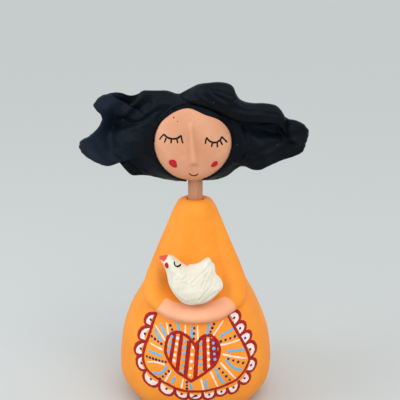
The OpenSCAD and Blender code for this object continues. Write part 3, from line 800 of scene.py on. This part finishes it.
def headDepth(x, z, bulge):
    # how far the head stands out of its middle plane: bulge (1 - s^n)^(1 / n), s the share of the way to
    # the rim
    n = faceShape["power"]
    return bulge * np.clip(1 - np.clip(np.hypot(x, z) / headReach(x, z), 0, 1) ** n, 0, 1) ** (1 / n)


def faceRelief(x, z):
    # the nose: relief (1 - t^2)^0.95, t across its width at this height; less small dents of depth
    # exp(-(d / r)^2)
    down = -nosePath[:, 1]
    middle, half, rise = (np.interp(-z, down, nosePath[:, k]) for k in (0, 2, 3))
    relief = rise * np.clip(1 - ((x - middle) / half) ** 2, 0, 1) ** 0.95 * (np.abs(z) < 16.5)
    for atX, atZ, radius, depth in faceShape["pits"]:
        relief = relief - depth * np.exp(-((x - atX) ** 2 + (z - atZ) ** 2) / radius ** 2)
    return relief


def onFace(x, z, lift):
    # the point of the face at (x, z) from its middle, lifted towards the viewer
    atX, atY, atZ = faceShape["at"]
    depth = headDepth(x, z, faceShape["bulge"]) + faceRelief(x, z)
    return np.stack([x + atX, atY - depth - lift, z + atZ], -1)


def facePaint():
    # skin-coloured emulsion in two close tones, with a few pits
    bench = Bench("facePaint", Specular_IOR_Level=0.4)
    broad, fine = bench.noise(16, 2), bench.noise(1.4, 4, 0.6)
    colour = bench.mix(broad.step(0.3, 0.7), tint(221, 155, 118), tint(230, 166, 129))
    colour = bench.mix(fine.step(0.42, 0.8) * 0.4, colour, tint(210, 140, 104))
    pits = bench.specks(5.2, 0.22, 0.25)
    colour = bench.mix(pits * 0.55, colour, tint(150, 92, 66))
    height = fine * 0.3 + bench.noise(0.5, 2) * 0.12 - pits * 0.6
    return bench.finish(colour, 0.46 + broad * 0.12, height, 0.18)


def makeHead():
    # rings from the tip of the face over the rim to the nape: rho = reach sin(a)^(2/n), depth = bulge
    # cos(a)^(2/n), where sin(a) = sin(b)^(n/2) spaces the rings by their share sin(b) of the way out
    look = faceShape
    b = overTheRim(0.01, 130, 44)
    a = np.arcsin(np.sin(b) ** (look["power"] / 2))
    a = np.where(b > math.pi / 2, math.pi - a, a)
    turn = np.linspace(0, 2 * math.pi, 241)[:-1]
    rho = headReach(np.cos(turn), np.sin(turn)) * np.sin(a) ** (2 / look["power"])
    x, z = rho * np.cos(turn), rho * np.sin(turn)
    grid = onFace(x, z, 0.0)
    grid[..., 1] = np.where(a < math.pi / 2, grid[..., 1], look["at"][1] + headDepth(x, z, look["nape"]))
    wobble = lumps(*np.moveaxis(grid, -1, 0), look["lumps"])
    grid[..., 1] += wobble * np.sin(a) * np.sign(np.cos(a))
    head = makePiece("headFace", [blob(grid)], "head", facePaint(), ("head_core", "nose"))
    drillHead(head)
    makePiece("eyeLines", [stroke(onFace, line, look["lidHalf"], 0.22) for line in look["lids"]]
              + [stroke(onFace, line, look["lashHalf"], 0.2) for line in look["lashes"]]
              + [stroke(onFace, look["mouth"], look["mouthHalf"], 0.16)],
              "head", brushedPaint("lashBlack", (12, 10, 14), (24, 20, 26), 0.5))
    makePiece("browMarks", [dot(onFace, x, z, radius, 0.15) for x, z, radius in look["marks"]],
              "head", brushedPaint("umber", (70, 40, 32), (52, 30, 26)))
    rings = [spline(ring, np.linspace(0, 1, 33)[:-1], True) for ring in look["cheeks"]]
    makePiece("cheekDabs", [patch(onFace, ring, 0.2) for ring in rings],
              "head", brushedPaint("rouge", (200, 34, 44), (180, 28, 38)))


def drillHead(head):
    # takes the neck's bore out of the head: a closed prism of 48 sides from under the chin up to the
    # bore's top
    look, sides = faceShape, 48
    turn = np.linspace(0, 2 * math.pi, sides + 1)[:-1]
    ring = np.stack([look["bore"] * np.cos(turn), look["bore"] * np.sin(turn)], -1)
    grid = np.stack([np.concatenate([ring, np.full((sides, 1), look[end])], 1)
                     for end in ("boreFoot", "boreTop")])
    points, quads, fans = blob(grid)
    mesh = bpy.data.meshes.new("drill")
    mesh.from_pydata((points * mm).tolist(), [], quads.tolist() + fans.tolist())
    drill = bpy.data.objects.new("drill", mesh)
    bpy.context.scene.collection.objects.link(drill)
    cut = head.modifiers.new("cut", "BOOLEAN")
    cut.operation = "DIFFERENCE"
    cut.solver = "EXACT"
    cut.object = drill
    bpy.context.view_layer.update()
    drilled = bpy.data.meshes.new_from_object(head.evaluated_get(bpy.context.evaluated_depsgraph_get()))
    head.modifiers.remove(cut)
    head.data = drilled
    drilled.set_sharp_from_angle(angle=math.radians(50))
    bpy.data.objects.remove(drill)
    print(f"head drilled: {len(drilled.polygons)} faces")


makeHead()


# places on the hair are (across, height) as seen from the front
hairShape = {
    # root: how far inside the head's rim the front sheets begin; glue: half the joint between front and
    # back sheets
    "centre": (-1.2, 184.3), "root": 0.5, "thickness": 2.8, "rim": 2.6, "glue": 0.05,
    # how far the front and back sheets swell towards the head, and the share of it that the front sheets' own
    # backs take part in: the rest is a thick collar round the head
    "swell": 7, "backSwell": 11, "collar": 0.15,
    # the torn edge: how much the outline comes and goes, as a share of its distance from the centre
    "ragged": 0.0032,
    # distances from the centre between which the waves and the creases grow from nothing: start, width
    "waveStart": [28, 30], "creaseStart": [26, 9],
    # channel in the back sheet that clears the neck: depth, half width, softness, top, softness
    "channel": [5.9, 14, 5, 172, 5],
    "lumps": [[0.3, 10, 21], [0.1, 3.6, 22]],  # height, size, seed
    "left": [[2, 213.5], [-5, 214.8], [-12, 214.2], [-18.5, 216.2], [-26, 216.5], [-34.5, 216.5],
             [-38.5, 213], [-41.5, 209.5], [-46, 207], [-51, 209.5], [-56, 213], [-61, 213], [-65.5, 210.4],
             [-67.6, 207], [-66, 203.8], [-63, 200.5], [-62.4, 196.8], [-65, 191.8], [-71, 186.4],
             [-77, 182.5], [-79, 178], [-78.3, 174.7], [-76, 171.5], [-71.8, 168.6], [-65, 166.3],
             [-59.5, 165.8], [-56, 167.6], [-52, 171], [-46, 169.3], [-39.5, 163.5], [-33.5, 158.6],
             [-24.5, 156.1], [-15, 154.5], [-6.2, 154]],
    "right": [[5.5, 154.8], [11.5, 154.9], [18, 156.2], [23, 158.6], [27.5, 162.4], [31, 164.8],
              [35, 164.8], [39.5, 162.5], [44.5, 162.4], [49, 164.3], [57.5, 167.1], [65, 169.3],
              [70.6, 172.2], [73.8, 175.9], [75, 182.5], [75.8, 188.5], [74.5, 192.5], [70, 196],
              [65.5, 197.5], [60, 198], [54, 202.5], [44, 204.5], [32, 206], [22, 209], [12, 211.5],
              [4, 213]],
    "back": [[0, 213.5], [-8, 213], [-17, 215], [-26, 215.5], [-34, 215.6], [-40.5, 213.2], [-44.5, 213],
             [-49.5, 214.5], [-55, 214.3], [-61, 212.4], [-66, 207.5], [-64.6, 203.4], [-61, 199],
             [-62.4, 191], [-70, 184.6], [-76.4, 179], [-75, 173.4], [-69, 169.6], [-61, 167.4],
             [-55, 168.5], [-51.5, 168], [-47.6, 163.6], [-44, 159.4], [-41, 158.2], [-36, 158],
             [-25, 156.6], [-12, 155.2], [0, 154.9], [12, 155.5], [22, 159], [30, 164.4], [40, 163.6],
             [49, 166], [62, 170.8], [71, 176], [74, 184], [72.4, 191.6], [66, 196], [58, 199.6],
             [50, 203.6], [38, 206], [27, 210], [22, 216], [12, 218], [4, 216.5]],
    # waves of the whole sheet: height, degrees per mm across, degrees per mm up, start
    "waves": [[3.6, 7.6, 4.4, 34], [2.4, 5, -8.6, 0]],
    # creases: line, half width, depth away from the viewer (less than 0 for a ridge)
    "creases": [[[[-36, 218], [-40.5, 212.5], [-46, 208], [-51, 204], [-55.5, 196.5], [-57.5, 191],
                  [-58.5, 185.5], [-57.5, 180.5], [-55.5, 176], [-51.5, 171.5]], 4.6, 3.4],
                [[[-56.5, 190], [-51, 191.5], [-46, 193], [-40.5, 195], [-35, 197], [-32, 199], [-28, 202],
                  [-23.5, 204.5]], 1.7, 2.2],
                [[[-31, 209], [-36, 205.5], [-40.5, 202], [-45.5, 198], [-51, 195.5],
                  [-55, 193.5]], 3.6, 3.6],
                [[[-56, 188], [-56.5, 184], [-55, 180]], 5, 2],
                [[[-53.5, 175], [-48.5, 172], [-43.5, 167], [-39, 163], [-34, 160.5]], 1.6, -1],
                [[[36, 192], [44, 190], [52, 188.5], [58, 188]], 3.4, 3.4],
                [[[58.5, 194], [57.5, 189], [60, 185], [63.5, 181.5]], 3, 3.6],
                [[[32, 194], [34.5, 188], [36, 183.5], [36, 178], [32.5, 171.5]], 1.8, 1.8],
                [[[39, 174.5], [49.5, 174.5], [60, 180], [65, 182]], 2.4, 1.6],
                [[[31, 166], [34.5, 172], [36, 178]], 1.3, -1]],
    # bulges towards the viewer: across, height, reach across, reach up, turn, rise
    "bulges": [[-67, 180, 10, 9, -30, 4], [-60, 206, 8, 5, -20, 2.5], [-24, 209, 13, 6, 0, 3],
               [-40, 184, 15, 11, -10, 1], [-47, 201, 3, 8, -50, 2.4], [63, 187, 8, 9, 0, 4.4],
               [47, 181, 9, 5, 10, 2], [24, 172, 8, 10, 30, 1.2]],
    # folded lock on top: its upper and lower edges from left to right
    "lockTop": [[-10, 214.6], [-3, 218.6], [2.5, 221.6], [9, 222.8], [15.5, 223.3], [21.5, 222.4],
                [25, 220], [27, 215.5], [29.5, 212], [33.5, 210], [39, 209], [45, 208.8], [51.5, 207.8],
                [55, 206], [58, 202.5], [61, 197]],
    "lockLow": [[-10, 213.8], [-7.5, 212], [-4, 210.4], [1, 208.4], [8, 206.2], [15, 203.5], [22.5, 200],
                [29, 197], [34.5, 196], [41, 196], [46, 195.8], [49, 195.5], [53.5, 194.6], [57, 192],
                [60, 188.5], [62.5, 185.5]],
    # how far it stands out and how domed it is, along its length
    "lockRise": [[0.2, 0.5], [1.2, 2.4], [1.8, 4.4], [1.8, 5.4], [1.6, 5.6], [1.4, 5.2], [1.2, 4.6], [1, 4],
                 [0.8, 3.2], [0.2, 1]],
    # its back plane at the left and at the right end, where along its length the one turns into the other
    # (start, width), and the share of the length over which it grows out of the sheet
    "lockBack": -9.6, "lockEnd": -3.5, "lockTurn": [0.45, 0.5], "lockRoot": 0.22,
    # brushed streaks on the lock: line, half width, rise
    "streaks": [[[[-4.5, 220], [1.5, 215.5], [7, 212], [11, 209]], 0.9, 0.55],
                [[[3.5, 221], [10, 216], [15, 212], [21, 208.5]], 1.2, 0.8],
                [[[12, 217.5], [19, 215], [24, 213]], 0.8, 0.4],
                [[[20, 206], [32, 203], [44, 202], [54, 199]], 1.4, 0.6],
                [[[26, 211], [32, 207], [42, 205.5], [52, 203.5]], 1.0, 0.4]],
    # lower edge of the hair on the brow, from the face's middle
    "brow": [[-25.9, -1], [-25, 5], [-21, 12.6], [-15.2, 17.7], [-10.2, 20.5], [-5.3, 21.9], [-1.4, 21.8],
             [2.8, 20.2], [8, 17.8], [13.3, 16], [17.2, 14], [20.8, 10.8], [23.8, 6.3], [25.4, 1],
             [25.9, -4]],
    # how far it rises and how far its back is sunk, where its outer edge lies at the ends and how much
    # further in its middle, and the least depth of its floor
    "browRise": 1.5, "browSink": 1.6, "browReach": 26.3, "browSpread": 1.4, "browFloor": 8.9,
}
hairCentre = np.array(hairShape["centre"])
hairCreases = [(spline(line, np.linspace(0, 1, 30)), half, depth)
               for line, half, depth in hairShape["creases"]]
frontRing = np.concatenate([spline(hairShape[side], np.linspace(0, 1, 300)) for side in ("left", "right")])
frontReach = reachOf(frontRing, hairCentre)


def hairMiddle(x, z):
    # where the hair's middle sheet lies: sine waves over the sheet, plus creases of depth
    # exp(-(d / half)^2), less bulges of rise exp(-(u / wide)^2 - (v / tall)^2), all fading to nothing
    # where the hair meets the head
    rho = np.hypot(x - hairCentre[0], z - hairCentre[1])
    y = 0.0
    for height, perAcross, perUp, start in hairShape["waves"]:
        y = y + height * np.sin(np.radians(perAcross * x + perUp * (z - hairCentre[1]) + start))
    start, width = hairShape["waveStart"]
    y = y * ease((rho - start) / width)
    fold = 0.0
    for line, half, depth in hairCreases:
        fold = fold + depth * np.exp(-(lineDistance(x, z, line) / half) ** 2)
    for atX, atZ, wide, tall, turn, rise in hairShape["bulges"]:
        c, s = math.cos(math.radians(turn)), math.sin(math.radians(turn))
        u, v = (x - atX) * c + (z - atZ) * s, (z - atZ) * c - (x - atX) * s
        fold = fold - rise * np.exp(-(u / wide) ** 2 - (v / tall) ** 2)
    start, width = hairShape["creaseStart"]
    return 1 + y + fold * ease((rho - start) / width)


def rimShare(distance):
    # a quarter circle that rounds a sheet's edge: sqrt(1 - (1 - distance / rim)^2)
    return np.sqrt(1 - (1 - np.clip(distance / hairShape["rim"], 0, 1)) ** 2)


def sheetFront(x, z):
    # front of the hair sheet at a place, swollen where it meets the head
    rho = np.hypot(x - hairCentre[0], z - hairCentre[1])
    reach = frontReach(x - hairCentre[0], z - hairCentre[1])
    root = headReach(x - hairCentre[0], z - hairCentre[1]) - hairShape["root"]
    v = np.clip((rho - root) / (reach - root), 0, 1)
    return hairMiddle(x, z) - hairShape["swell"] * (1 - ease(v)) - hairShape["thickness"]


def frontSheet(outline, steps):
    # one front sheet: straight lines (v from 0 to 1) from the head's ring to the outline and back again,
    # the front and the back joined by a rounded rim; it swells by swell (1 - ease(v)) towards the head
    look = hairShape
    edge = spline(outline, np.linspace(0, 1, steps))[:, None]
    away = edge - hairCentre
    away = away * (1 + look["ragged"] * unevenness(edge[..., 0], 60, edge[..., 1], 4.2, 25)[..., None])
    edge = hairCentre + away
    length = np.hypot(away[..., 0], away[..., 1])[..., None]
    root = (headReach(away[..., 0], away[..., 1]) - look["root"])[..., None]
    start = hairCentre + away * root / length
    frontV = 1 - (1 - np.linspace(0, 1, 76)) ** 1.7
    v, facing = outAndHome(frontV, frontV[-2::-4])
    v = v[None, :, None]
    spot = start + (edge - start) * v
    x, z, v = spot[..., 0], spot[..., 1], v[..., 0]
    swell = look["swell"] * (facing + look["collar"] * (1 - facing))
    middle = hairMiddle(x, z) - look["glue"] - swell * (1 - ease(v))
    rim = rimShare((1 - v) * (length - root)[..., 0])
    y = middle - look["thickness"] * rim * facing
    y = y + lumps(x, y, z, look["lumps"]) * rim * facing
    return blob(np.stack([x, y, z], -1))


def backSheet():
    # the back sheet: rings from the head's middle to the outline along v, the layer next to the head out
    # and the outer layer home again; the sheet swells by backSwell (1 - inner^2)
    look = hairShape
    away = spline(look["back"], np.linspace(0, 1, 361)[:-1], True) - hairCentre
    outV = 1 - (1 - np.linspace(0.02, 1, 64)) ** 1.5
    v, inside = (column[:, None] for column in outAndHome(outV[::3], outV[::-1]))
    behind = 1 - inside
    spot = hairCentre + v[..., None] * away
    x, z = spot[..., 0], spot[..., 1]
    rho = v * np.hypot(away[:, 0], away[:, 1])
    front = frontReach(away[:, 0], away[:, 1])
    inner = np.clip(rho / front, 0, 1)
    swollen = hairMiddle(x, z) + look["glue"] + look["backSwell"] * (1 - inner * inner)
    depth, half, sideFade, top, topFade = look["channel"]
    neck = depth * ease((half - np.abs(x)) / sideFade) * ease((top - z) / topFade)
    nape = headDepth(x - hairCentre[0], z - hairCentre[1], faceShape["nape"]) + 0.3
    # a soft maximum of the three, so that no fold line shows where one takes over: soft
    # log(sum of exp(y / soft))
    soft = 1.2
    y = soft * np.log(np.exp(swollen / soft) + np.exp(neck / soft) * (neck > 0.01)
                      + np.exp(nape / soft) * (nape > 0.3))
    rim = rimShare((1 - v) * np.hypot(away[:, 0], away[:, 1]))
    y = y + behind * (look["thickness"] * rim + lumps(x, y + 40, z, look["lumps"]) * rim)
    return blob(np.stack([x, y, z], -1))


def topLock():
    # the folded lock: t runs from its lower edge, -1, to its upper, 1; with arch = sqrt(1 - t^2),
    # y = base - step arch^0.5 - dome arch, with streaks; its back lies on the sheet behind it
    look = hairShape
    s = np.linspace(0, 1, 150)
    low, top = spline(look["lockLow"], s)[:, None], spline(look["lockTop"], s)[:, None]
    step, dome = np.moveaxis(spline(look["lockRise"], s), -1, 0)
    t = -np.cos(np.linspace(0, math.pi, 64))
    t, facing = outAndHome(t, t[-2:0:-3])
    spot = (low + top) / 2 + (top - low) / 2 * t[..., None]
    x, z = spot[..., 0], spot[..., 1]
    sheet = sheetFront(x, z)
    begin, width = look["lockTurn"]
    base = look["lockBack"] + (look["lockEnd"] - look["lockBack"]) * ease((s[:, None] - begin) / width)
    base = base + (sheet - base) * (1 - ease(s[:, None] / look["lockRoot"]))
    arch = np.sqrt(np.clip(1 - t * t, 0, 1))
    front = base - step[:, None] * arch ** 0.5 - dome[:, None] * arch
    for line, half, rise in look["streaks"]:
        d = lineDistance(x, z, spline(line, np.linspace(0, 1, 20)))
        front = front - rise * np.exp(-(d / half) ** 2) * arch
        front = front + rise * 0.6 * np.exp(-((d - 1.9 * half) / half) ** 2) * arch
    front = front + lumps(x, front + 80, z, look["lumps"]) * arch
    y = np.where(facing > 0, front, np.maximum(sheet + 0.5, base) * arch + base * (1 - arch))
    return blob(np.stack([x, y, z], -1))


def browRoll():
    # the band of hair along the brow: t runs from the brow line out to just past the head's rim, and the band
    # rises rise sin(pi t)^0.6 above the face
    look = hairShape
    s = np.linspace(0, 1, 160)
    inner = spline(look["brow"], s)[:, None]
    turn = inner / np.hypot(inner[..., 0], inner[..., 1])[..., None]
    outer = turn * (look["browReach"] + look["browSpread"] * np.sin(math.pi * s) ** 0.5)[:, None, None]
    t = np.linspace(0, 1, 26)
    t, facing = outAndHome(t, t[-2:0:-3])
    spot = inner + (outer - inner) * t[..., None]
    x, z = spot[..., 0], spot[..., 1]
    rho = np.hypot(x, z)
    floor = np.maximum(headDepth(x, z, faceShape["bulge"]), look["browFloor"])
    width = np.hypot(*np.moveaxis(outer - inner, -1, 0))
    bow = np.sin(math.pi * t) ** 0.6 * np.minimum(look["browRise"], 0.45 * width)
    bow = bow + 0.22 * np.sin(t * 17 + 3 * np.sin(5 * s[:, None])) * np.sin(math.pi * t)
    y = -floor - np.where(facing > 0, bow + 0.05, -look["browSink"])
    return blob(np.stack([x + hairCentre[0], y, z + hairCentre[1]], -1))


def hairPaint():
    # black emulsion over paper pulp: blue-black with brushed streaks, a painted bluish reflection on the left
    # tip, dust and lint on it
    bench = Bench("hairBlack", Specular_IOR_Level=0.12, Specular_Tint=(0.7, 0.85, 1, 1))
    broad, fine = bench.noise(14, 3), bench.noise(1.6, 4, 0.65)
    drag = bench.noise(2.4, 4, 0.6, (0.5, 1, 1), 0.6)
    colour = bench.mix(broad.step(0.32, 0.7), tint(7, 9, 12), tint(11, 15, 22))
    colour = bench.mix(drag.step(0.5, 0.82) * 0.5, colour, tint(20, 26, 36))
    # painted reflection: the hair's left tip turns paler blue, as though it caught the cool light from the
    # left
    across = bench.node("ShaderNodeSeparateXYZ", {}, {"Vector": bench.place()}, "X")
    tip = (across * -1 + broad * 0.02).step(0.052, 0.072)
    colour = bench.mix(tip * 0.75, colour, tint(22, 32, 46))
    dust = bench.specks(5.5, 0.26, 0.2)
    lint = bench.specks(2.6, 0.14, 0.1)
    colour = bench.mix(dust * 0.75 + lint * 0.5, colour, tint(176, 178, 176))
    height = fine * 0.5 + drag * 0.4 + bench.noise(0.6, 2) * 0.1
    return bench.finish(colour, 0.38 + broad * 0.12 + drag * 0.1, height, 0.28)


def makeHair():
    paint = hairPaint()
    for name, shell, node in (("hairFrontLeft", frontSheet(hairShape["left"], 330), "hair_front_left"),
                              ("hairFrontRight", frontSheet(hairShape["right"], 280), "hair_front_right"),
                              ("hairBack", backSheet(), "hair_back"),
                              ("hairLock", topLock(), "hair_top_lock"),
                              ("hairBrow", browRoll(), "hairline_roll")):
        makePiece(name, [shell], "head", paint, (node,))


makeHair()


def neckPaint():
    # a wooden stick: skin-coloured paint with the grain showing through above the socket, bare wood below
    bench = Bench("paintedNeck", Specular_IOR_Level=0.35)
    grain = bench.noise(1.1, 4, 0.65, (1, 1, 0.07), 0.5)
    pores = bench.noise(0.5, 3, 0.6, (1, 1, 0.05))
    mottle = bench.noise(3, 3)
    height = bench.node("ShaderNodeSeparateXYZ", {}, {"Vector": bench.place()}, "Z")
    painted = (height + mottle * 0.004).step(0.1365, 0.1385)
    paint = bench.mix(grain.step(0.4, 0.75) * 0.6, tint(200, 144, 110), tint(160, 104, 74))
    paint = bench.mix(pores.step(0.58, 0.72) * 0.6, paint, tint(140, 88, 62))
    wood = bench.mix(grain.step(0.35, 0.75), tint(218, 184, 138), tint(184, 142, 96))
    wood = bench.mix(pores.step(0.6, 0.75) * 0.5, wood, tint(140, 100, 64))
    colour = bench.mix(painted, wood, paint)
    return bench.finish(colour, 0.6 + grain * 0.15, grain * 0.5 + pores * 0.5, 0.18)


def cardPaint():
    # brown card: fibres in two directions and small flecks
    bench = Bench("brownCard", Specular_IOR_Level=0.2)
    fibres, cross = bench.noise(0.9, 4, 0.7, (1, 1, 0.25), 1.0), bench.noise(1.3, 4, 0.7, (0.3, 1, 1), 1.0)
    colour = bench.mix(fibres.step(0.35, 0.7), tint(176, 142, 102), tint(150, 116, 80))
    colour = bench.mix(cross.step(0.55, 0.8) * 0.4, colour, tint(196, 164, 124))
    colour = bench.mix(bench.specks(1.8, 0.16, 0.2) * 0.6, colour, tint(96, 72, 50))
    return bench.finish(colour, 0.85, fibres * 0.5 + cross * 0.5, 0.2)


def plasterPaint():
    # poured plaster: chalky, with soft stains and air bubbles
    bench = Bench("pouredPlaster", Specular_IOR_Level=0.25)
    broad, fine = bench.noise(12, 4), bench.noise(1.2, 4, 0.6)
    bubbles = bench.specks(3, 0.4, 0.35)
    colour = bench.mix(broad.step(0.3, 0.75), tint(226, 222, 212), tint(204, 198, 184))
    colour = bench.mix(bubbles * 0.5, colour, tint(160, 154, 140))
    return bench.finish(colour, 0.9, fine * 0.4 - bubbles, 0.3)


def woodPaint():
    # a turned plug of bare wood, the grain along its height
    bench = Bench("bareWood", Specular_IOR_Level=0.3)
    grain = bench.noise(1.4, 4, 0.65, (1, 1, 0.08), 0.6)
    colour = bench.mix(grain.step(0.35, 0.75), tint(214, 180, 134), tint(172, 130, 86))
    return bench.finish(colour, 0.7, grain, 0.15)


def paintInside():
    # the turned and inner parts keep their own meshes and get a finish each
    card = cardPaint()
    finishes = {"neck_dowel": neckPaint(), "base_disc": card, "neck_tube": card, "tube_spreader": card,
                "ballast": plasterPaint(), "tube_plug": woodPaint()}
    for node, material in finishes.items():
        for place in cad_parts[node].material_slots:
            place.material = material
    print(f"{len(finishes)} turned and inner parts painted")


paintInside()
